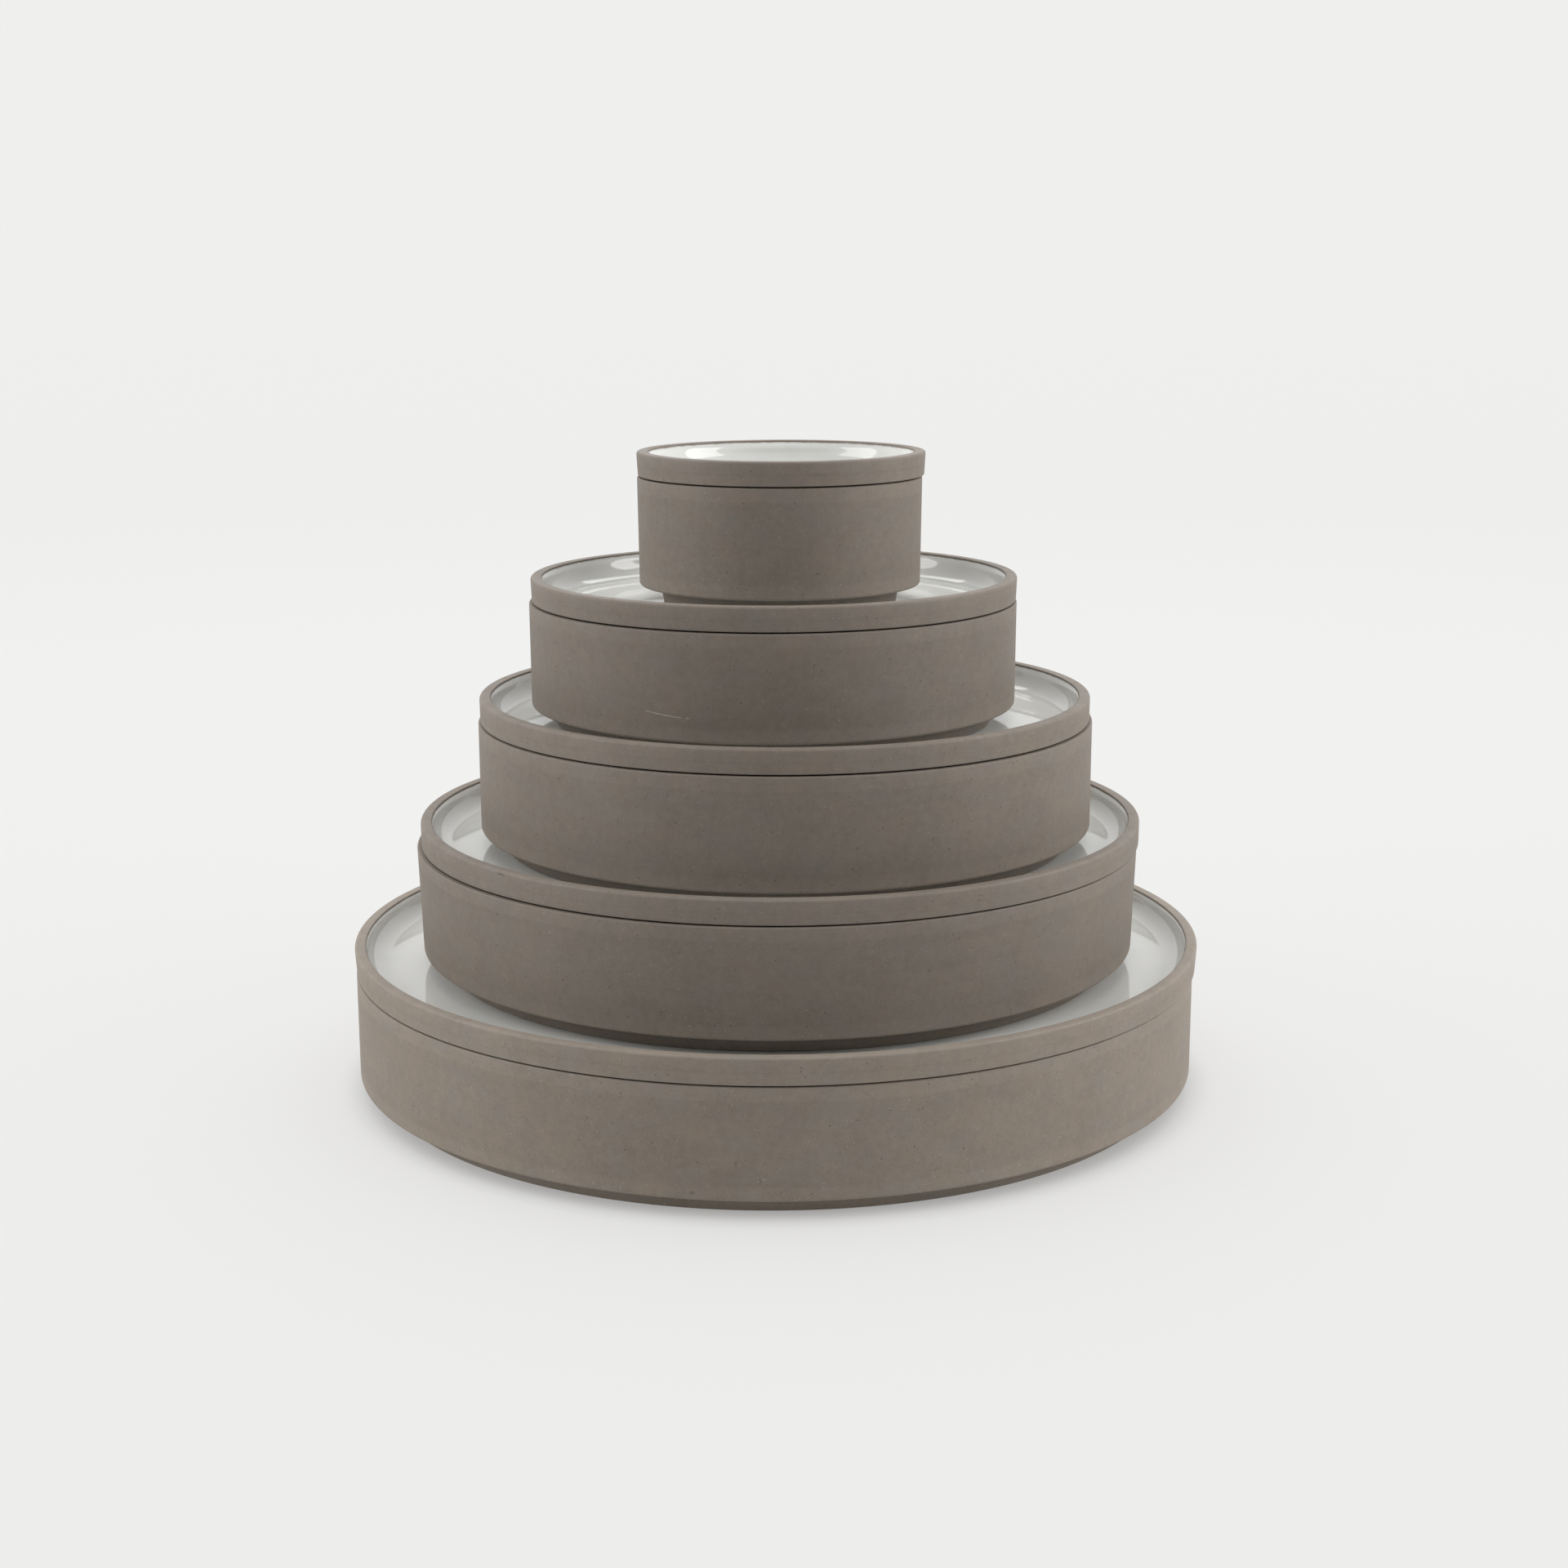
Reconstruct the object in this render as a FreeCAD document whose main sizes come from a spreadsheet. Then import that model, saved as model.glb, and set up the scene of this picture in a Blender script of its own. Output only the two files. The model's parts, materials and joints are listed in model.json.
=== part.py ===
import FreeCAD, Part

import os

import Sketcher

# Five round lidded dishes of unglazed stoneware in one stack, the widest at the bottom.
# Each dish is a straight-walled bowl on a set-back foot ring. Its lid is a shallow plate
# with a ring underneath that enters the bowl's mouth, and the next bowl stands in the
# plate's well. A thin glaze lines the inside of every bowl and every plate.
# Millimetres, +Z up, origin on the floor under the centre of the widest plate.

SIZES = [255, 220, 185, 145, 85]  # nominal widths from the floor up; also the pieces' names
SHEET = {
    # bowl
    "bowl_wall": 3.4,
    "bowl_floor": 4.5,
    "bowl_inner_draft": 0.8,
    "bowl_lower_edge_radius": 0.9,
    "bowl_inner_corner_radius": 6.0,
    "bowl_outer_rim_radius": 0.5,
    "bowl_inner_rim_radius": 0.4,
    "bowl_bare_rim": 1.2,
    "foot_height": 5.2,
    "foot_inset": 6.3,
    "foot_slant": 0.9,
    "foot_width": 4.6,
    "foot_recess": 4.2,
    "foot_edge_radius": 0.5,
    # lid
    "lid_floor": 4.2,
    "lid_wall": 3.4,
    "lid_inner_draft": 0.9,
    "lid_lower_edge_radius": 0.35,
    "lid_inner_corner_radius": 6.0,
    "lid_outer_rim_radius": 0.8,
    "lid_inner_rim_radius": 0.4,
    "lid_bare_rim": 0.5,
    "ring_depth": 6.2,
    "ring_clearance": 1.4,
    "ring_slant": 1.5,
    "ring_width": 5.5,
    "ring_corner_radius": 0.4,
    "joint_gap": 0.4,  # the lid clears the bowl by this much along the rim's outer edge
    "joint_gap_width": 1.2,
    "glaze_thickness": 0.3,
}
# Every piece was finished by hand, so each size has its own: the bowl's radius at its rim,
# how much narrower it is at the bottom, its height and how far it stands off the origin
# along X, then the lid's radius at its crest, how much narrower it is below, its offset, its
# crest's height above the bowl's rim and its well's floor, as a depth below that rim.
PIECES = {
    255: {"bowl_radius": 128.05, "bowl_draft": 0.0, "bowl_height": 37.0, "bowl_sway": -0.4,
          "lid_radius": 128.8, "lid_flare": 0.5, "lid_sway": 0.0,
          "lid_crest": 8.2, "well_depth": -0.86},
    220: {"bowl_radius": 109.5, "bowl_draft": 1.1, "bowl_height": 36.94, "bowl_sway": 0.45,
          "lid_radius": 109.2, "lid_flare": 0.1, "lid_sway": 1.35,
          "lid_crest": 7.5, "well_depth": 0.5},
    185: {"bowl_radius": 92.75, "bowl_draft": 0.1, "bowl_height": 37.6, "bowl_sway": 3.05,
          "lid_radius": 92.1, "lid_flare": 0.1, "lid_sway": 2.9,
          "lid_crest": 7.5, "well_depth": 0.5},
    145: {"bowl_radius": 73.15, "bowl_draft": 0.2, "bowl_height": 36.1, "bowl_sway": -0.55,
          "lid_radius": 72.9, "lid_flare": 0.3, "lid_sway": -0.25,
          "lid_crest": 7.5, "well_depth": 0.5},
    85: {"bowl_radius": 42.5, "bowl_draft": 0.4, "bowl_height": 37.3, "bowl_sway": 1.55,
         "lid_radius": 43.05, "lid_flare": 0.4, "lid_sway": 2.0,
         "lid_crest": 7.5, "well_depth": 0.5},
}

doc = FreeCAD.newDocument("dish_stack")
sheet = doc.addObject("Spreadsheet::Sheet", "Sizes")
cells = SHEET | {f"{name}_{size}": number for size in SIZES for name, number in PIECES[size].items()}
for row, (alias, value) in enumerate(cells.items(), start=1):
    sheet.set(f"A{row}", alias)
    sheet.set(f"B{row}", str(value))
    sheet.setAlias(f"B{row}", alias)
doc.recompute()

# Expressions in the sheet's cells. Heights in a bowl start at the bottom of its foot, and
# heights in a lid start at the bottom of its ring.
BOWL_FLOOR_TOP = "(Sizes.foot_height + Sizes.bowl_floor)"
GLAZE = "Sizes.glaze_thickness"
AXIS = "0"
FLOOR = "0"


def add_body(label, sway, height):
    """An empty body that stands at the given expressions."""
    body = doc.addObject("PartDesign::Body", label)
    body.Label = label
    body.setExpression("Placement.Base.x", sway)
    body.setExpression("Placement.Base.z", height)
    return body


def value(expression):
    """What an expression in the sheet's cells comes to."""
    return float(sheet.evalExpression(expression))


def bind(sketch, constraint, expression):
    """Add a constraint whose value follows the expression."""
    index = sketch.addConstraint(constraint)
    sketch.setExpression(f"Constraints[{index}]", expression)


def turn(body, corners):
    """Turn a closed outline about the body's Z axis.

    A corner is two expressions, its radius from the axis and its height, and a third for
    the radius of its rounding if it isn't sharp.
    """
    plane = next(f for f in body.Origin.OriginFeatures if f.Role == "XZ_Plane")
    sketch = body.newObject("Sketcher::SketchObject", f"{body.Name}_outline")
    sketch.AttachmentSupport = [(plane, "")]
    sketch.MapMode = "FlatFace"
    doc.recompute()
    points = [FreeCAD.Vector(value(corner[0]), value(corner[1]), 0) for corner in corners]
    for start, end in zip(points, points[1:] + points[:1]):
        sketch.addGeometry(Part.LineSegment(start, end))
    for side in range(len(corners)):
        sketch.addConstraint(Sketcher.Constraint("Coincident", (side - 1) % len(corners), 2, side, 1))

    places = []
    roundings = []
    for side, corner in enumerate(corners):
        if len(corner) == 3:
            sketch.fillet(side, 1, value(corner[2]), True, True)
            roundings.append((sketch.GeometryCount - 2, corner[2]))
            places.append(sketch.GeometryCount - 1)
        else:
            places.append(side)
    for place, point, corner in zip(places, points, corners):
        if corner[0] == AXIS:
            sketch.addConstraint(Sketcher.Constraint("PointOnObject", place, 1, -2))
        else:
            bind(sketch, Sketcher.Constraint("DistanceX", -1, 1, place, 1, point.x), corner[0])
        bind(sketch, Sketcher.Constraint("DistanceY", -1, 1, place, 1, point.y), corner[1])
    for arc, radius in roundings:
        bind(sketch, Sketcher.Constraint("Radius", arc, value(radius)), radius)

    solid = body.newObject("PartDesign::Revolution", f"{body.Name}_turned")
    solid.Profile = sketch
    solid.ReferenceAxis = (sketch, ["V_Axis"])
    solid.Angle = 360
    doc.recompute()
    if sketch.solve() != 0 or not sketch.FullyConstrained:
        raise RuntimeError(f"{body.Label}: the outline isn't fully constrained")


def add_bowl(size, height):
    """The ceramic of one bowl, with a shallow rebate that its glaze fills."""
    outer = f"Sizes.bowl_radius_{size}"
    rim = f"Sizes.bowl_height_{size}"
    outer_foot = f"{outer} - Sizes.bowl_draft_{size}"
    foot_top = f"{outer_foot} - Sizes.foot_inset"
    foot_bottom = f"{foot_top} - Sizes.foot_slant"
    foot_inner = f"{foot_bottom} - Sizes.foot_width"
    mouth = f"{outer} - Sizes.bowl_wall"
    glaze_top = f"({rim} - Sizes.bowl_bare_rim)"
    body = add_body(f"bowl_{size}", f"Sizes.bowl_sway_{size}", height)
    turn(body, [
        (AXIS, "Sizes.foot_recess"),
        (f"{foot_inner} - Sizes.foot_slant", "Sizes.foot_recess", "Sizes.foot_edge_radius"),
        (foot_inner, FLOOR, "Sizes.foot_edge_radius"),
        (foot_bottom, FLOOR, "Sizes.foot_edge_radius"),
        (foot_top, "Sizes.foot_height", "Sizes.foot_edge_radius"),
        (outer_foot, "Sizes.foot_height", "Sizes.bowl_lower_edge_radius"),
        (outer, rim, "Sizes.bowl_outer_rim_radius"),
        (mouth, rim, "Sizes.bowl_inner_rim_radius"),
        (mouth, glaze_top),
        (f"{mouth} + {GLAZE}", glaze_top),
        (
            f"{mouth} - Sizes.bowl_inner_draft + {GLAZE}",
            f"{BOWL_FLOOR_TOP} - {GLAZE}",
            f"Sizes.bowl_inner_corner_radius + {GLAZE}",
        ),
        (AXIS, f"{BOWL_FLOOR_TOP} - {GLAZE}"),
    ])
    return [
        body,
        add_glaze(
            f"bowl_{size}",
            (mouth, "Sizes.bowl_inner_draft", "Sizes.bowl_inner_corner_radius"),
            (BOWL_FLOOR_TOP, glaze_top),
            (f"Sizes.bowl_sway_{size}", height),
        ),
    ]


def add_lid(size, height):
    """The ceramic of one plate-shaped lid, with a rebate for its glaze."""
    crest = f"Sizes.lid_radius_{size}"
    lower = f"{crest} - Sizes.lid_flare_{size}"
    inner = f"{crest} - Sizes.lid_wall"
    ring_top = f"Sizes.bowl_radius_{size} - Sizes.bowl_wall - Sizes.ring_clearance"
    ring_bottom = f"{ring_top} - Sizes.ring_slant"
    ring_inner = f"{ring_bottom} - Sizes.ring_width"
    gap_top = "Sizes.ring_depth + Sizes.joint_gap"
    crest_top = f"(Sizes.ring_depth + Sizes.lid_crest_{size})"
    glaze_top = f"({crest_top} - Sizes.lid_bare_rim)"
    floor_top = f"(Sizes.ring_depth - Sizes.well_depth_{size})"
    recess = f"{floor_top} - Sizes.lid_floor"
    body = add_body(f"lid_{size}", f"Sizes.lid_sway_{size}", height)
    turn(body, [
        (AXIS, recess),
        (ring_inner, recess, "Sizes.foot_edge_radius"),
        (ring_inner, FLOOR, "Sizes.foot_edge_radius"),
        (ring_bottom, FLOOR, "Sizes.foot_edge_radius"),
        (ring_top, "Sizes.ring_depth", "Sizes.ring_corner_radius"),
        (f"{lower} - Sizes.joint_gap_width", "Sizes.ring_depth"),
        (f"{lower} - Sizes.joint_gap_width", gap_top),
        (lower, gap_top, "Sizes.lid_lower_edge_radius"),
        (crest, crest_top, "Sizes.lid_outer_rim_radius"),
        (inner, crest_top, "Sizes.lid_inner_rim_radius"),
        (inner, glaze_top),
        (f"{inner} + {GLAZE}", glaze_top),
        (
            f"{inner} - Sizes.lid_inner_draft + {GLAZE}",
            f"{floor_top} - {GLAZE}",
            f"Sizes.lid_inner_corner_radius + {GLAZE}",
        ),
        (AXIS, f"{floor_top} - {GLAZE}"),
    ])
    return [
        body,
        add_glaze(
            f"lid_{size}",
            (inner, "Sizes.lid_inner_draft", "Sizes.lid_inner_corner_radius"),
            (floor_top, glaze_top),
            (f"Sizes.lid_sway_{size}", height),
        ),
    ]


def add_glaze(owner, inside, heights, place):
    """The glaze inside a bowl or a plate, filling that piece's rebate."""
    wall, draft, corner_radius = inside
    floor_top, glaze_top = heights
    body = add_body(f"{owner}_glaze", *place)
    turn(body, [
        (AXIS, f"{floor_top} - {GLAZE}"),
        (f"{wall} - {draft} + {GLAZE}", f"{floor_top} - {GLAZE}", f"{corner_radius} + {GLAZE}"),
        (f"{wall} + {GLAZE}", glaze_top),
        (wall, glaze_top),
        (f"{wall} - {draft}", floor_top, corner_radius),
        (AXIS, floor_top),
    ])
    return body


pieces = []
bowl_bottom = "0"
for size in SIZES:
    bowl_rim = f"{bowl_bottom} + Sizes.bowl_height_{size}"
    pieces += add_bowl(size, bowl_bottom)
    pieces += add_lid(size, f"{bowl_rim} - Sizes.ring_depth")
    bowl_bottom = f"{bowl_rim} - Sizes.well_depth_{size}"

doc.recompute()
for item in doc.Objects:
    if "Invalid" in item.State or "Error" in item.State:
        raise RuntimeError(f"{item.Label} failed: {item.State}")
for piece in pieces:
    if piece.Shape.isNull() or not piece.Shape.isValid() or len(piece.Shape.Solids) != 1:
        raise RuntimeError(f"{piece.Label} has no valid solid")

os.makedirs("parts", exist_ok=True)
for piece in pieces:
    piece.Shape.exportStep(f"parts/{piece.Label}.step")
    print(f"{piece.Label}: {piece.Shape.Volume / 1000:.1f} cm3")
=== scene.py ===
import json
import math

import bpy
from mathutils import Matrix, Vector, noise

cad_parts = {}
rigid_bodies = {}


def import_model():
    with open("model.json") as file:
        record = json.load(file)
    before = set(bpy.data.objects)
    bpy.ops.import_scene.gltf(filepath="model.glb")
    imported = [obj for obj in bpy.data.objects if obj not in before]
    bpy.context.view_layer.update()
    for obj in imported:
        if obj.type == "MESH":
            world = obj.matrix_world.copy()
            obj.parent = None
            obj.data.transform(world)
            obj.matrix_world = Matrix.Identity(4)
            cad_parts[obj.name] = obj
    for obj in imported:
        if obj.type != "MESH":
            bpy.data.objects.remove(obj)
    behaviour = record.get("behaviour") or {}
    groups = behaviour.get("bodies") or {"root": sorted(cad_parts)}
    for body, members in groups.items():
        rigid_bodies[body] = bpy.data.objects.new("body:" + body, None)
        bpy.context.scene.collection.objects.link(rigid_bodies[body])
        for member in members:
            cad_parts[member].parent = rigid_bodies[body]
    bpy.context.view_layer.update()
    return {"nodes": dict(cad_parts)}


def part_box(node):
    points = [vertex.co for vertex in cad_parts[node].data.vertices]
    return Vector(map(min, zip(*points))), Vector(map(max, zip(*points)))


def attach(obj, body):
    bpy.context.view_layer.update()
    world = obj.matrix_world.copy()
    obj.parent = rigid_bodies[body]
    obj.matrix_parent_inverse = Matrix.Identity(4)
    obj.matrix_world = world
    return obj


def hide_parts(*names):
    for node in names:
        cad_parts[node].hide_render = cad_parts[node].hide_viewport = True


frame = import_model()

mm = 0.001
print("frame loaded:", len(frame["nodes"]), "nodes")

cameraSetup = {
    "place": (0.00262, -0.7361, 0.2485),
    "pitch": 12.14,  # degrees below level
    "roll": -0.16,
    "lens": 56.46,  # focal length in millimetres
    "sensor": 36.0,  # width in millimetres
}


def placeCamera(setup):
    data = bpy.data.cameras.new("studioCamera")
    data.lens = setup["lens"]
    data.sensor_width = setup["sensor"]
    camera = bpy.data.objects.new("studioCamera", data)
    tilt = Matrix.Rotation(math.radians(90 - setup["pitch"]), 4, "X")
    roll = Matrix.Rotation(math.radians(setup["roll"]), 4, "Z")
    camera.matrix_world = Matrix.Translation(setup["place"]) @ tilt @ roll
    bpy.context.scene.collection.objects.link(camera)
    bpy.context.scene.camera = camera


placeCamera(cameraSetup)


class Wire:
    # one socket of a node tree; arithmetic on it adds Math nodes
    def __init__(self, tree, socket):
        self.tree = tree
        self.socket = socket

    def maths(self, operation, *operands):
        return self.tree.add("ShaderNodeMath", {"operation": operation}, dict(enumerate(operands)))

    def __add__(self, other):
        return self.maths("ADD", self, other)

    def __sub__(self, other):
        return self.maths("SUBTRACT", self, other)

    def __rsub__(self, other):
        return self.maths("SUBTRACT", other, self)

    def __mul__(self, other):
        return self.maths("MULTIPLY", self, other)

    def __abs__(self):
        return self.maths("ABSOLUTE", self)

    __radd__ = __add__
    __rmul__ = __mul__

    def output(self, name):
        return Wire(self.tree, self.socket.node.outputs[name])

    def ramp(self, low, high, start=0.0, end=1.0):
        # eases from start at low to end at high
        return self.tree.add(
            "ShaderNodeMapRange",
            {"interpolation_type": "SMOOTHSTEP"},
            {"Value": self, "From Min": low, "From Max": high, "To Min": start, "To Max": end},
        )


class Tree:
    # the node tree of one material or of the world
    def __init__(self, owner):
        owner.use_nodes = True
        self.owner = owner
        self.nodes = owner.node_tree.nodes
        self.links = owner.node_tree.links
        self.nodes.clear()

    def add(self, kind, settings=None, inputs=None, output=0):
        node = self.nodes.new(kind)
        for name, setting in (settings or {}).items():
            setattr(node, name, setting)
        for name, given in (inputs or {}).items():
            if isinstance(given, Wire):
                self.links.new(given.socket, node.inputs[name])
            else:
                node.inputs[name].default_value = given
        return Wire(self, node.outputs[output]) if node.outputs else None

    def mix(self, factor, first, second):
        settings = {"data_type": "RGBA", "clamp_factor": True}
        return self.add("ShaderNodeMix", settings, {0: factor, 6: first, 7: second}, 2)

    def scaled(self, vector, factors):
        return self.add("ShaderNodeVectorMath", {"operation": "MULTIPLY"}, {0: vector, 1: factors})

    def clouds(self, vector, perMetre, detail=2.0, roughness=0.5):
        inputs = {"Vector": vector, "Scale": perMetre, "Detail": detail, "Roughness": roughness}
        return self.add("ShaderNodeTexNoise", {}, inputs)

    def dots(self, vector, perMetre):
        # distance from the nearest of many scattered points, as a share of their spacing
        return self.add("ShaderNodeTexVoronoi", {}, {"Vector": vector, "Scale": perMetre, "Randomness": 1.0})

    def specks(self, place, look):
        # scattered dots, kept only where a broader cloud pattern is dense
        dots = self.dots(place, look["perMetre"]).ramp(*look["edge"])
        return dots * self.clouds(place, look["patches"], look["detail"]).ramp(*look["cover"])

    def near(self, place, spot):
        # 1 at a spot, 0 outside its half sizes
        offset = self.add("ShaderNodeVectorMath", {"operation": "SUBTRACT"}, {0: place, 1: spot["at"]})
        stretched = self.scaled(offset, tuple(1 / half for half in spot["half"]))
        far = self.add("ShaderNodeVectorMath", {"operation": "LENGTH"}, {0: stretched}, "Value")
        return far.ramp(1.0, 0.3)

    def surface(self, inputs):
        shader = self.add("ShaderNodeBsdfPrincipled", {}, inputs)
        self.add("ShaderNodeOutputMaterial", {}, {"Surface": shader})
        return self.owner


relief = {"Strength": 0.25, "Distance": 0.12 * mm}  # how deep the grain of both surfaces is

stonewareLook = {
    "deep": (0.130, 0.108, 0.087, 1),
    "light": (0.210, 0.179, 0.149, 1),
    "warm": (0.187, 0.150, 0.118, 1),
    "cool": (0.158, 0.146, 0.134, 1),
    "iron": (0.050, 0.040, 0.032, 1),
    "grog": (0.36, 0.32, 0.27, 1),
    "rubbed": (0.23, 0.20, 0.17, 1),
    # colour of the painted shade, with some soil, in the joint's gap and on the rim under a lid
    "shadeAndSoil": (0.022, 0.017, 0.012, 1),
    "roughness": 0.66,
    # the mottling's layers: patterns per metre, detail, roughness, and share of the whole
    "wide": (20, 4, 0.55, 0.24),
    "middle": (110, 4, 0.62, 0.20),
    "fine": (430, 3, 0.6, 0.24),
    "grain": (1900, 3, 0.7, 0.32),
    "ironSpecks": {"perMetre": 520, "edge": (0.17, 0.08), "patches": 330, "detail": 1, "cover": (0.55, 0.62)},
    "grogSpecks": {"perMetre": 700, "edge": (0.17, 0.08), "patches": 290, "detail": 1, "cover": (0.54, 0.62)},
    "pitSpecks": {"perMetre": 900, "edge": (0.20, 0.10), "patches": 210, "detail": 2, "cover": (0.50, 0.60)},
    "strength": {
        # the joint's darkening strength is painted shade, with some soil
        "hue": 0.5, "rings": 0.14, "iron": 0.65, "grog": 0.5, "pits": 0.30, "shadeAndSoil": 0.95, "rub": 0.15,
    },
    "scratch": {
        "x": -0.0297, "z": 0.1240, "slope": -0.105, "bend": 6.0,
        "half": 0.0070, "width": 0.00022, "front": (-0.03, -0.04), "strength": 0.7,
    },
    "marks": [
        {"at": (-0.0770, -0.0783, 0.0815), "half": (0.0034, 0.0030, 0.0008), "strength": 0.7},  # rim nick
        {"at": (-0.0218, -0.1265, 0.0074), "half": (0.0010, 0.0030, 0.0007), "strength": 0.5},  # pit
        {"at": (0.0115, -0.0398, 0.1879), "half": (0.0060, 0.0040, 0.0007), "strength": 0.3},  # smudge
    ],
}


def makeStoneware(look):
    tree = Tree(bpy.data.materials.new("stoneware"))
    strength = look["strength"]
    place = tree.add("ShaderNodeTexCoord", {}, {}, "Object")
    x = tree.add("ShaderNodeSeparateXYZ", {}, {"Vector": place})
    y, z = x.output("Y"), x.output("Z")

    # the clay's mottling, from thumb-wide clouds down to grain
    layers = {name: tree.clouds(place, *look[name][:3]) for name in ("wide", "middle", "fine", "grain")}
    wide, middle, fine, grain = (layer.ramp(0.25, 0.75) * look[name][3] for name, layer in layers.items())
    mottle = wide + middle + fine + grain
    colour = tree.mix(mottle, look["deep"], look["light"])
    hue = tree.clouds(tree.scaled(place, (1, 1, 1.7)), 85, 4, 0.6)
    colour = tree.mix(hue.ramp(0.5, 0.72, 0, strength["hue"]), colour, look["warm"])
    colour = tree.mix(hue.ramp(0.5, 0.28, 0, strength["hue"]), colour, look["cool"])

    # faint level rings left by turning and sponging
    rings = tree.clouds(tree.scaled(place, (5, 5, 520)), 1.0, 3, 0.65)
    colour = tree.mix(rings.ramp(0.5, 0.8, 0, strength["rings"]), colour, look["deep"])

    # iron specks and pale grog, a few to the square centimetre
    iron = tree.specks(place, look["ironSpecks"])
    grog = tree.specks(place, look["grogSpecks"])
    pits = tree.specks(place, look["pitSpecks"])
    colour = tree.mix(iron * strength["iron"], colour, look["iron"])
    colour = tree.mix(grog * strength["grog"], colour, look["grog"])
    colour = tree.mix(pits * strength["pits"], colour, look["iron"])

    # edges rubbed a little paler by handling, and painted shade with some soil darkening the joint and the
    # rim under a lid
    edge = tree.add("ShaderNodeAttribute", {"attribute_name": "edge"}, {}, "Fac")
    # painted shade, with some soil, where the edge attribute is below zero: the joint's gap and the rim under
    # a lid
    colour = tree.mix(edge.ramp(0.1, -0.5, 0, strength["shadeAndSoil"]), colour, look["shadeAndSoil"])
    rub = edge.maths("MAXIMUM", edge, 0.0) * tree.clouds(place, 140, 3, 0.6).ramp(0.35, 0.65, 0.35, 1.0)
    colour = tree.mix(rub * strength["rub"], colour, look["rubbed"])

    # one fine pale scratch on the front of the second dish from the top
    scratch = look["scratch"]
    along = x - scratch["x"]
    line = abs(z - scratch["z"] - along * scratch["slope"] - along * along * scratch["bend"])
    cut = line.ramp(scratch["width"], 0.3 * scratch["width"]) * y.ramp(*scratch["front"])
    cut = cut * abs(along).ramp(scratch["half"], 0.8 * scratch["half"])
    cut = cut * tree.clouds(place, 900, 2).ramp(0.38, 0.5)
    colour = tree.mix(cut * scratch["strength"], colour, look["grog"])
    for mark in look["marks"]:
        spot = tree.near(place, mark) * tree.clouds(place, 800, 3).ramp(0.36, 0.52)
        colour = tree.mix(spot * mark["strength"], colour, look["iron"])

    # each dish's tone scales its clay; the largest dish's lightening is painted light for the floor's bounce
    tone = tree.add("ShaderNodeAttribute", {"attribute_name": "tone"}, {}, "Fac")
    colour = tree.add("ShaderNodeVectorMath", {"operation": "SCALE"}, {0: colour, "Scale": tone})

    rough = layers["middle"].ramp(0.3, 0.7, look["roughness"] - 0.04, look["roughness"] + 0.05)
    rough = rough + grog * 0.1 - rub * 0.10
    height = layers["grain"] * 0.5 + tree.clouds(place, 4200, 2, 0.6) * 0.35 + rings * 0.25
    height = height - iron * 0.2 - pits * 0.8 - cut * 0.8
    bump = tree.add("ShaderNodeBump", {}, relief | {"Height": height})
    return tree.surface({
        "Base Color": colour,
        "Roughness": rough,
        "IOR": 1.45,
        "Specular IOR Level": 0.4,
        "Normal": bump,
    })


glazeLook = {
    "white": (0.66, 0.66, 0.635, 1),
    "pool": (0.62, 0.625, 0.60, 1),
    "thin": (0.24, 0.20, 0.165, 1),  # where it thins over the clay at its upper edge
    "pinhole": (0.22, 0.19, 0.16, 1),
    "pinholes": {"perMetre": 260, "edge": (0.06, 0.03), "patches": 120, "detail": 1, "cover": (0.60, 0.66)},
    "roughness": 0.05,
}


def makeGlaze(look):
    tree = Tree(bpy.data.materials.new("whiteGlaze"))
    place = tree.add("ShaderNodeTexCoord", {}, {}, "Object")
    clouds = tree.clouds(place, 40, 3, 0.5)
    colour = tree.mix(clouds.ramp(0.35, 0.7), look["white"], look["pool"])
    edge = tree.add("ShaderNodeAttribute", {"attribute_name": "edge"}, {}, "Fac")
    ragged = edge + (tree.clouds(place, 300, 3, 0.6) - 0.5) * 0.4
    colour = tree.mix(ragged.ramp(0.75, 1.05), colour, look["thin"])
    pinhole = tree.specks(place, look["pinholes"])
    colour = tree.mix(pinhole * 0.6, colour, look["pinhole"])

    rough = clouds.ramp(0.3, 0.7, look["roughness"], look["roughness"] + 0.025) + ragged.ramp(0.6, 1.0) * 0.3
    height = tree.clouds(place, 60, 2, 0.45) * 0.8 + tree.clouds(place, 700, 2) * 0.02 - pinhole * 0.15
    bump = tree.add("ShaderNodeBump", {}, relief | {"Height": height})
    return tree.surface({
        "Base Color": colour,
        "Roughness": rough,
        "IOR": 1.5,
        "Specular IOR Level": 0.5,
        "Normal": bump,
    })


stoneware = makeStoneware(stonewareLook)
whiteGlaze = makeGlaze(glazeLook)
print("stoneware and glaze mixed")

turning = {
    "arcStep": 9.0,  # degrees of a rounding between two rings of points
    "longStep": 4.0 * mm,  # longest stretch between two rings of points
    "around": 320,  # points in a ring
    "axisGap": 0.6 * mm,  # rings stop this far from the axis, where a cap closes them
    "wobble": 0.06 * mm,  # how far a wall may stand in from true round
    "swellsAround": 1.4,  # how busy the wobble is round a piece
    "swellsUp": 30,  # and per metre of height
    "swellsApart": 90,  # per metre between the pieces' middles, so that no two wobble alike
    "edgeFade": 1.2 * mm,  # how far an edge's wear reaches along the wall
}


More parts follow.
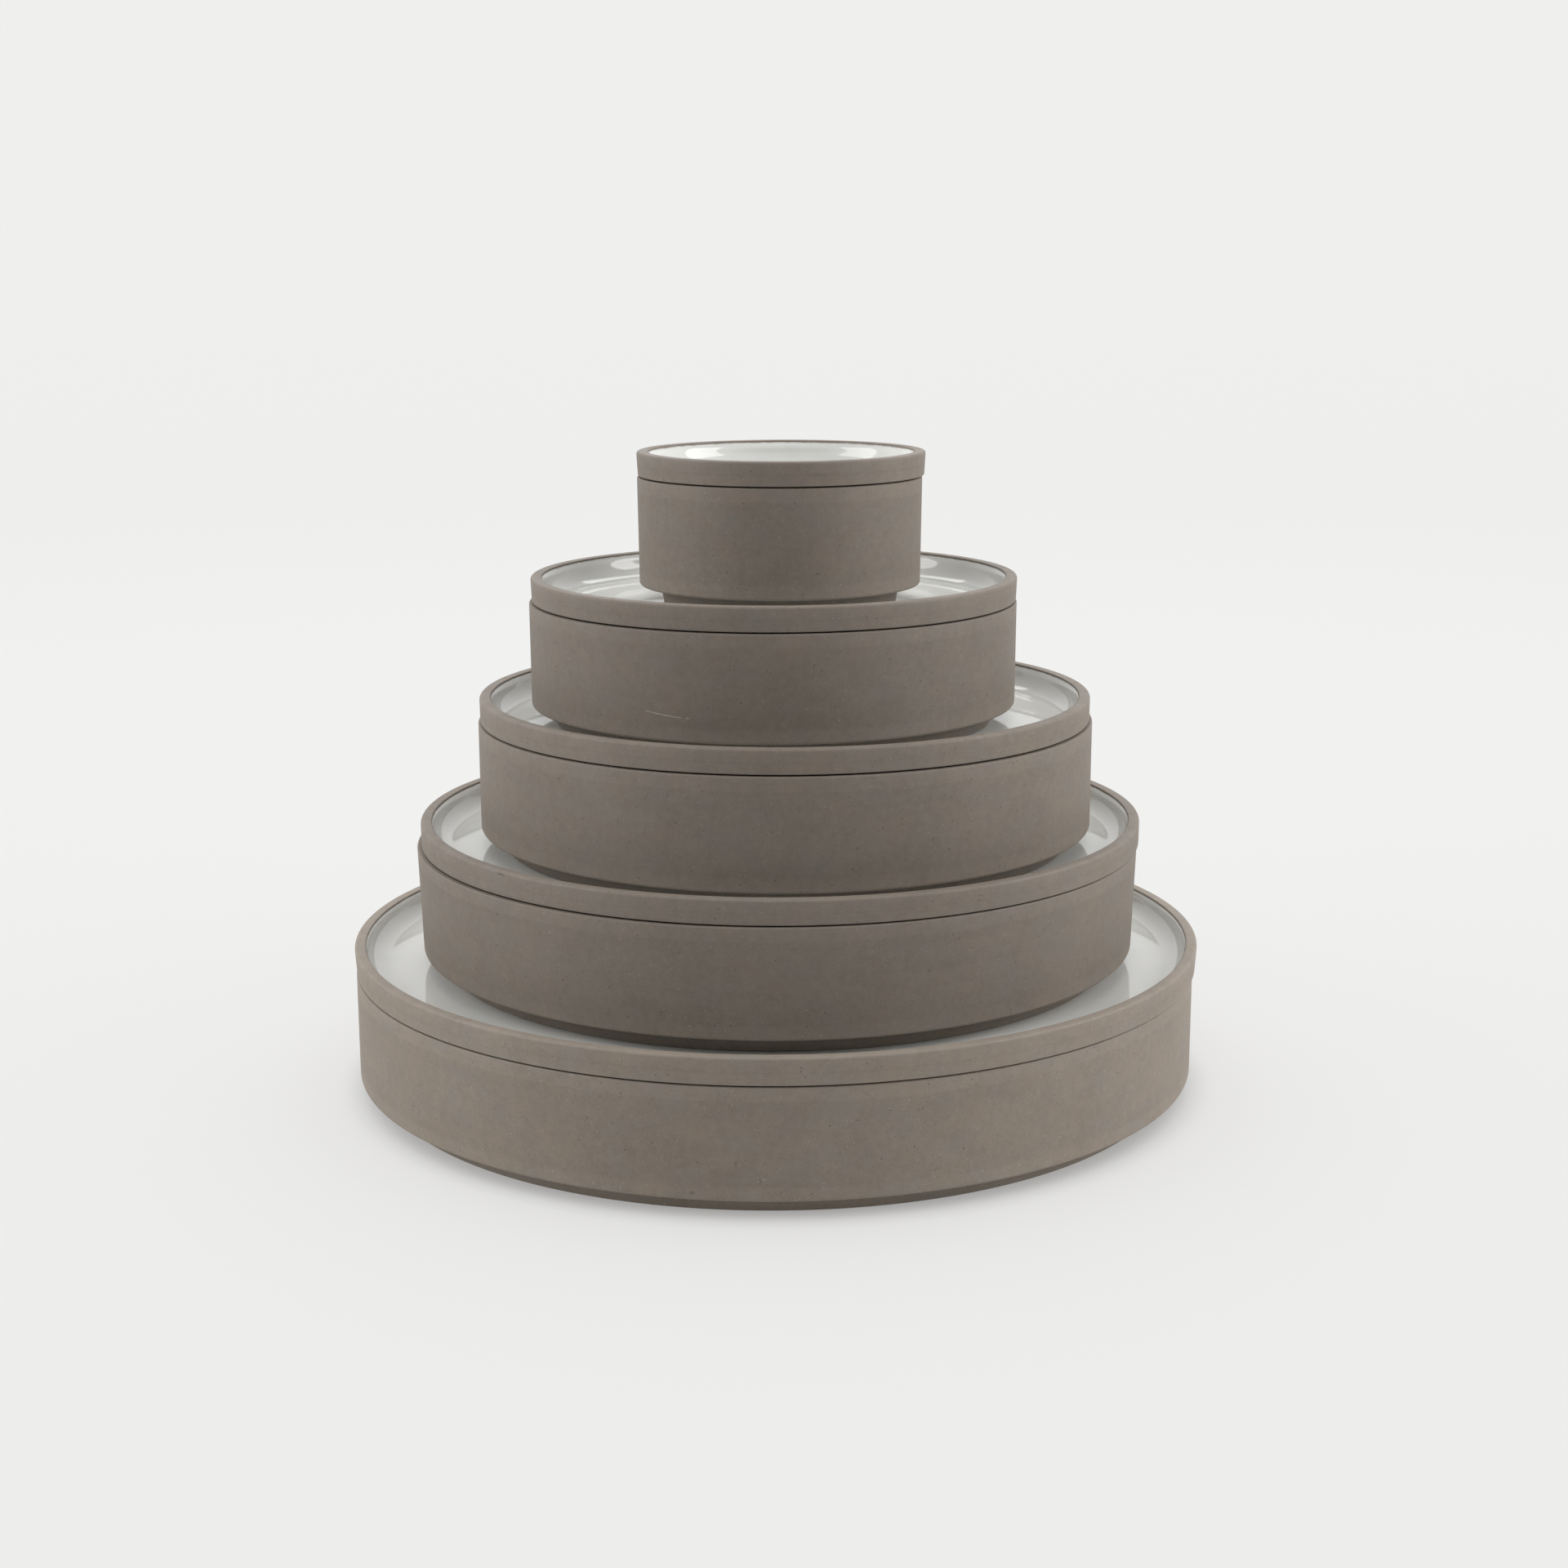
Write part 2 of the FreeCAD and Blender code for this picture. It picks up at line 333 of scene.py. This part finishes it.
def roundCorner(before, here, after, rounding, edge):
    # points (radius, height, edge) of the arc that rounds one corner
    toBefore = (Vector(before) - Vector(here)).normalized()
    toAfter = (Vector(after) - Vector(here)).normalized()
    opening = toBefore.angle(toAfter)
    reach = rounding / math.tan(opening / 2)
    middle = Vector(here) + (toBefore + toAfter).normalized() * (rounding / math.sin(opening / 2))
    spoke = Vector(here) + toBefore * reach - middle
    sweep = -spoke.angle_signed(Vector(here) + toAfter * reach - middle)
    steps = max(3, round(abs(math.degrees(sweep)) / turning["arcStep"]))
    points = []
    for step in range(steps + 1):
        point = middle + Matrix.Rotation(sweep * step / steps, 2) @ spoke
        points.append((point.x, point.y, edge))
    return points


def fillOutline(corners):
    # the outline's points, from corners (radius, height, rounding, edge);
    # edge is 1 where handling rubs the corner most, 0 where it is plain and -1 where painted shade, with some
    # soil, darkens the joint
    points = []
    for index, (radius, height, rounding, edge) in enumerate(corners):
        if rounding:
            after = corners[(index + 1) % len(corners)]
            points += roundCorner(corners[index - 1][:2], (radius, height), after[:2], rounding, edge)
        else:
            points.append((radius, height, edge))
    filled = points[:1]
    for start, end in zip(points, points[1:]):
        length = math.dist(start[:2], end[:2])
        parts = max(1, math.ceil(length / turning["longStep"]))
        for part in range(1, parts):
            share = part / parts
            nearest, gone = (start, share) if share < 0.5 else (end, 1 - share)
            filled.append((
                start[0] + (end[0] - start[0]) * share,
                start[1] + (end[1] - start[1]) * share,
                nearest[2] * max(0.0, 1 - gone * length / turning["edgeFade"]),
            ))
        filled.append(end)
    return filled


def turnPiece(name, centre, corners, material, node, tone, wobble=0.0):
    # one closed solid of revolution about the upright through its node's centre
    outline = fillOutline(corners)
    around = turning["around"]
    points, wear, faces = [], [], []
    for radius, height, edge in outline:
        for step in range(around):
            across = Vector((math.cos(math.tau * step / around), math.sin(math.tau * step / around), 0))
            seed = Vector((centre.z * turning["swellsApart"], 0, height * turning["swellsUp"]))
            uneven = noise.noise(across * turning["swellsAround"] + seed)
            reach = radius - wobble * (0.5 + 0.5 * uneven)
            points.append((centre.x + across.x * reach, centre.y + across.y * reach, height))
            wear.append(edge)
    for ring in range(len(outline) - 1):
        low, high = ring * around, (ring + 1) * around
        for step in range(around):
            following = (step + 1) % around
            faces.append((low + step, low + following, high + following, high + step))
    faces.append(tuple(reversed(range(around))))
    faces.append(tuple(range(len(points) - around, len(points))))

    mesh = bpy.data.meshes.new(name)
    mesh.from_pydata(points, [], faces)
    mesh.attributes.new("edge", "FLOAT", "POINT").data.foreach_set("value", wear)
    mesh.attributes.new("tone", "FLOAT", "POINT").data.foreach_set("value", [tone] * len(points))
    mesh.polygons.foreach_set("use_smooth", [True] * len(mesh.polygons))
    mesh.materials.append(material)
    piece = bpy.data.objects.new(name, mesh)
    bpy.context.scene.collection.objects.link(piece)
    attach(piece, node.removesuffix("_glaze"))
    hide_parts(node)


# the largest bowl's and lid's clay is lightened far beyond the rest: painted light standing in for the
# floor's bounce on the lowest dish
clayToneAndPaintedLight = {255: 1.40, 220: 1.09, 185: 1.10, 145: 1.02, 85: 1.04}  # each dish's clay against the plain mix
glazeDepth = 0.3 * mm
innerCorner = 6.0 * mm


def glazeCorners(wall, draft, floorTop, top):
    # the glaze inside a bowl or a plate
    return [
        (turning["axisGap"], floorTop - glazeDepth, 0, 0),
        (wall - draft + glazeDepth, floorTop - glazeDepth, innerCorner + glazeDepth, 0),
        (wall + glazeDepth, top, 0, 1),
        (wall, top, 0, 1),
        (wall - draft, floorTop, innerCorner, 0),
        (turning["axisGap"], floorTop, 0, 0),
    ]


def turnDish(node, centre, corners, glaze, tone):
    # the ware of a bowl or a lid, and the glaze inside it
    turnPiece(f"{node}_ware", centre, corners, stoneware, node, tone, turning["wobble"])
    turnPiece(f"{node}_lining", centre, glaze, whiteGlaze, f"{node}_glaze", 1.0)


bowlShape = {
    "radius": {255: 128.05 * mm, 220: 109.5 * mm, 185: 92.75 * mm, 145: 73.15 * mm, 85: 42.5 * mm},
    "draft": {255: 0.0, 220: 1.1 * mm, 185: 0.1 * mm, 145: 0.2 * mm, 85: 0.4 * mm},
    "wall": 3.4 * mm,
    "floor": 4.5 * mm,
    "innerDraft": 0.8 * mm,
    "lowerEdge": 0.9 * mm,
    "outerRim": 0.5 * mm,
    "innerRim": 0.4 * mm,
    "bareRim": 1.2 * mm,
    "footHeight": 5.2 * mm,
    "footInset": 6.3 * mm,
    "footSlant": 0.9 * mm,
    "footWidth": 4.6 * mm,
    "footRecess": 4.2 * mm,
    "footEdge": 0.5 * mm,
}


def makeBowl(size, shape):
    node = f"bowl_{size}"
    low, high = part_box(node)
    radius = shape["radius"][size]
    outerFoot = radius - shape["draft"][size]
    footTop = outerFoot - shape["footInset"]
    footLow = footTop - shape["footSlant"]
    footInner = footLow - shape["footWidth"]
    mouth = radius - shape["wall"]
    footHigh, recess = low.z + shape["footHeight"], low.z + shape["footRecess"]
    floorTop, glazeTop = footHigh + shape["floor"], high.z - shape["bareRim"]
    corners = [
        (turning["axisGap"], recess, 0, 0),
        (footInner - shape["footSlant"], recess, shape["footEdge"], 0),
        (footInner, low.z, shape["footEdge"], 0.6),
        (footLow, low.z, shape["footEdge"], 0.6),
        (footTop, footHigh, shape["footEdge"], 0),
        (outerFoot, footHigh, shape["lowerEdge"], 0.25),
        (radius, high.z, shape["outerRim"], 0.6),
        # edge -1 here paints shade, with some soil, on the rim under the lid
        (mouth, high.z, shape["innerRim"], -1),
        (mouth, glazeTop, 0, 0),
        (mouth + glazeDepth, glazeTop, 0, 0),
        (mouth - shape["innerDraft"] + glazeDepth, floorTop - glazeDepth, innerCorner + glazeDepth, 0),
        (turning["axisGap"], floorTop - glazeDepth, 0, 0),
    ]
    glaze = glazeCorners(mouth, shape["innerDraft"], floorTop, glazeTop)
    turnDish(node, (low + high) / 2, corners, glaze, clayToneAndPaintedLight[size])


lidShape = {
    "radius": {255: 128.8 * mm, 220: 109.2 * mm, 185: 92.1 * mm, 145: 72.9 * mm, 85: 43.05 * mm},
    "flare": {255: 0.5 * mm, 220: 0.1 * mm, 185: 0.1 * mm, 145: 0.3 * mm, 85: 0.4 * mm},
    # how far the well's floor lies below the bowl's rim
    "wellDepth": {255: -0.86 * mm, 220: 0.5 * mm, 185: 0.5 * mm, 145: 0.5 * mm, 85: 0.5 * mm},
    "wall": 3.4 * mm,
    "floor": 4.2 * mm,
    "innerDraft": 0.9 * mm,
    "lowerEdge": 0.35 * mm,
    "outerRim": 0.8 * mm,
    "innerRim": 0.4 * mm,
    "bareRim": 0.5 * mm,
    "ringDepth": 6.2 * mm,
    "ringGap": 1.4 * mm,
    "ringSlant": 1.5 * mm,
    "ringWidth": 5.5 * mm,
    "ringCorner": 0.4 * mm,
    "ringEdge": 0.5 * mm,
    "jointGap": 0.4 * mm,
    "jointGapWidth": 1.2 * mm,
}


def makeLid(size, shape):
    node = f"lid_{size}"
    low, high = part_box(node)
    radius = shape["radius"][size]
    outerLow = radius - shape["flare"][size]
    inner = radius - shape["wall"]
    ringTop = bowlShape["radius"][size] - bowlShape["wall"] - shape["ringGap"]
    ringLow = ringTop - shape["ringSlant"]
    ringInner = ringLow - shape["ringWidth"]
    joint = low.z + shape["ringDepth"]
    floorTop, glazeTop = joint - shape["wellDepth"][size], high.z - shape["bareRim"]
    recess = floorTop - shape["floor"]
    corners = [
        (turning["axisGap"], recess, 0, 0),
        (ringInner, recess, shape["ringEdge"], 0),
        (ringInner, low.z, shape["ringEdge"], 0.4),
        (ringLow, low.z, shape["ringEdge"], 0.4),
        (ringTop, joint, shape["ringCorner"], 0),
        # the joint's gap; edge -1 paints shade, with some soil, on it
        (outerLow - shape["jointGapWidth"], joint, 0, -1),
        (outerLow - shape["jointGapWidth"], joint + shape["jointGap"], 0, -1),
        (outerLow, joint + shape["jointGap"], shape["lowerEdge"], 0.5),
        (radius, high.z, shape["outerRim"], 1),
        (inner, high.z, shape["innerRim"], 0.7),
        (inner, glazeTop, 0, 0),
        (inner + glazeDepth, glazeTop, 0, 0),
        (inner - shape["innerDraft"] + glazeDepth, floorTop - glazeDepth, innerCorner + glazeDepth, 0),
        (turning["axisGap"], floorTop - glazeDepth, 0, 0),
    ]
    glaze = glazeCorners(inner, shape["innerDraft"], floorTop, glazeTop)
    turnDish(node, (low + high) / 2, corners, glaze, clayToneAndPaintedLight[size])


for size in bowlShape["radius"]:
    makeBowl(size, bowlShape)
    makeLid(size, lidShape)
print("bowls and lids turned")

studio = {
    "brightness": 0.863,  # the same in the room and on the far floor, so that no horizon shows
    "tint": (1.0, 1.0, 0.993, 1),
    "floorReach": 6.0,
    "floorReturns": 0.42,  # share of the light from above; the rest of the floor's is its own glow
    "flag": {"place": (0.0, -1.5, 0.55), "width": 3.0, "height": 1.3},  # dark card on the camera's side
    "flagColour": (0.03, 0.03, 0.03, 1),
    "flagRoughness": 0.9,
    # painted light on the floor: its glow is raised round the stack as a painted pool of light and dimmed
    # beside the lowest foot as a painted contact shadow
    "glowNear": 1.07,  # the floor's glow round the stack, as a share of its glow far off
    "glowUnder": 0.6,  # and right beside the lowest foot
    "underFade": (0.118, 0.136),  # distances from the axis between which the glow changes
    "nearFade": (0.4, 2.0),
    "aimHeight": 0.1,  # the softboxes face this height on the stack's axis
    "softboxes": [
        {"name": "softboxLeft", "around": -80, "up": 25, "range": 1.0, "size": 0.6, "power": 5.0},
        {"name": "softboxRight", "around": 80, "up": 25, "range": 1.0, "size": 0.6, "power": 6.1},
        {"name": "softboxBackLeft", "around": -165, "up": 48, "range": 1.6, "size": 0.8, "power": 5.8},
        {"name": "softboxBackRight", "around": 164, "up": 48, "range": 1.6, "size": 0.8, "power": 5.8},
    ],
}


def makeCard(name, corners, material):
    mesh = bpy.data.meshes.new(name)
    mesh.from_pydata(corners, [], [(0, 1, 2, 3)])
    mesh.materials.append(material)
    card = bpy.data.objects.new(name, mesh)
    bpy.context.scene.collection.objects.link(card)
    return card


def dimmed(colour, share):
    return tuple(share * part for part in colour[:3]) + (1,)


def buildStudio(setup):
    tree = Tree(bpy.data.materials.new("paleFloor"))
    returns, reach = setup["floorReturns"], setup["floorReach"]
    place = tree.add("ShaderNodeTexCoord", {}, {}, "Object")
    away = tree.add("ShaderNodeVectorMath", {"operation": "LENGTH"}, {0: place}, "Value")
    nearGlow = dimmed(setup["tint"], setup["glowNear"])
    underGlow = dimmed(setup["tint"], setup["glowUnder"])
    # painted contact shadow beside the lowest foot and painted pool of light round the stack, both in the
    # floor's glow
    glow = tree.mix(away.ramp(*setup["underFade"]), underGlow, nearGlow)
    glow = tree.mix(away.ramp(*setup["nearFade"]), glow, setup["tint"])
    floorPaint = tree.surface({
        "Base Color": dimmed(setup["tint"], returns),
        "Roughness": 1.0,
        "Specular IOR Level": 0.0,
        "Emission Color": glow,
        "Emission Strength": setup["brightness"] * (1 - returns),
    })
    square = [(-reach, -reach, 0), (reach, -reach, 0), (reach, reach, 0), (-reach, reach, 0)]
    floor = makeCard("floor", square, floorPaint)

    tree = Tree(bpy.data.materials.new("blackCard"))
    blackPaint = tree.surface({"Base Color": setup["flagColour"], "Roughness": setup["flagRoughness"]})
    flag = setup["flag"]
    x, y, z = flag["place"]
    side, rise = flag["width"] / 2, flag["height"] / 2
    left, right, bottom, top = x - side, x + side, z - rise, z + rise
    upright = [(left, y, bottom), (right, y, bottom), (right, y, top), (left, y, top)]
    flagCard = makeCard("flag", upright, blackPaint)
    flagCard.visible_camera = False
    cards = (floor, flagCard)

    world = bpy.data.worlds.new("room")
    bpy.context.scene.world = world
    tree = Tree(world)
    room = tree.add("ShaderNodeBackground", {}, {"Color": setup["tint"], "Strength": setup["brightness"]})
    tree.add("ShaderNodeOutputWorld", {}, {"Surface": room})

    # the softboxes light the stack alone, so that the floor stays even
    lit = bpy.data.collections.new("litPieces")
    for piece in bpy.context.scene.objects:
        if piece.type == "MESH" and piece not in cards:
            lit.objects.link(piece)
    for box in setup["softboxes"]:
        data = bpy.data.lights.new(box["name"], "AREA")
        data.size = box["size"]
        data.energy = box["power"]
        lamp = bpy.data.objects.new(box["name"], data)
        around, up = math.radians(box["around"]), math.radians(box["up"])
        towards = Vector((math.sin(around) * math.cos(up), -math.cos(around) * math.cos(up), math.sin(up)))
        lamp.location = towards * box["range"] + Vector((0, 0, setup["aimHeight"]))
        lamp.rotation_euler = towards.to_track_quat("Z", "Y").to_euler()
        lamp.visible_camera = False
        lamp.light_linking.receiver_collection = lit
        bpy.context.scene.collection.objects.link(lamp)


buildStudio(studio)
bpy.context.scene.view_settings.view_transform = "Standard"
print("studio lit")
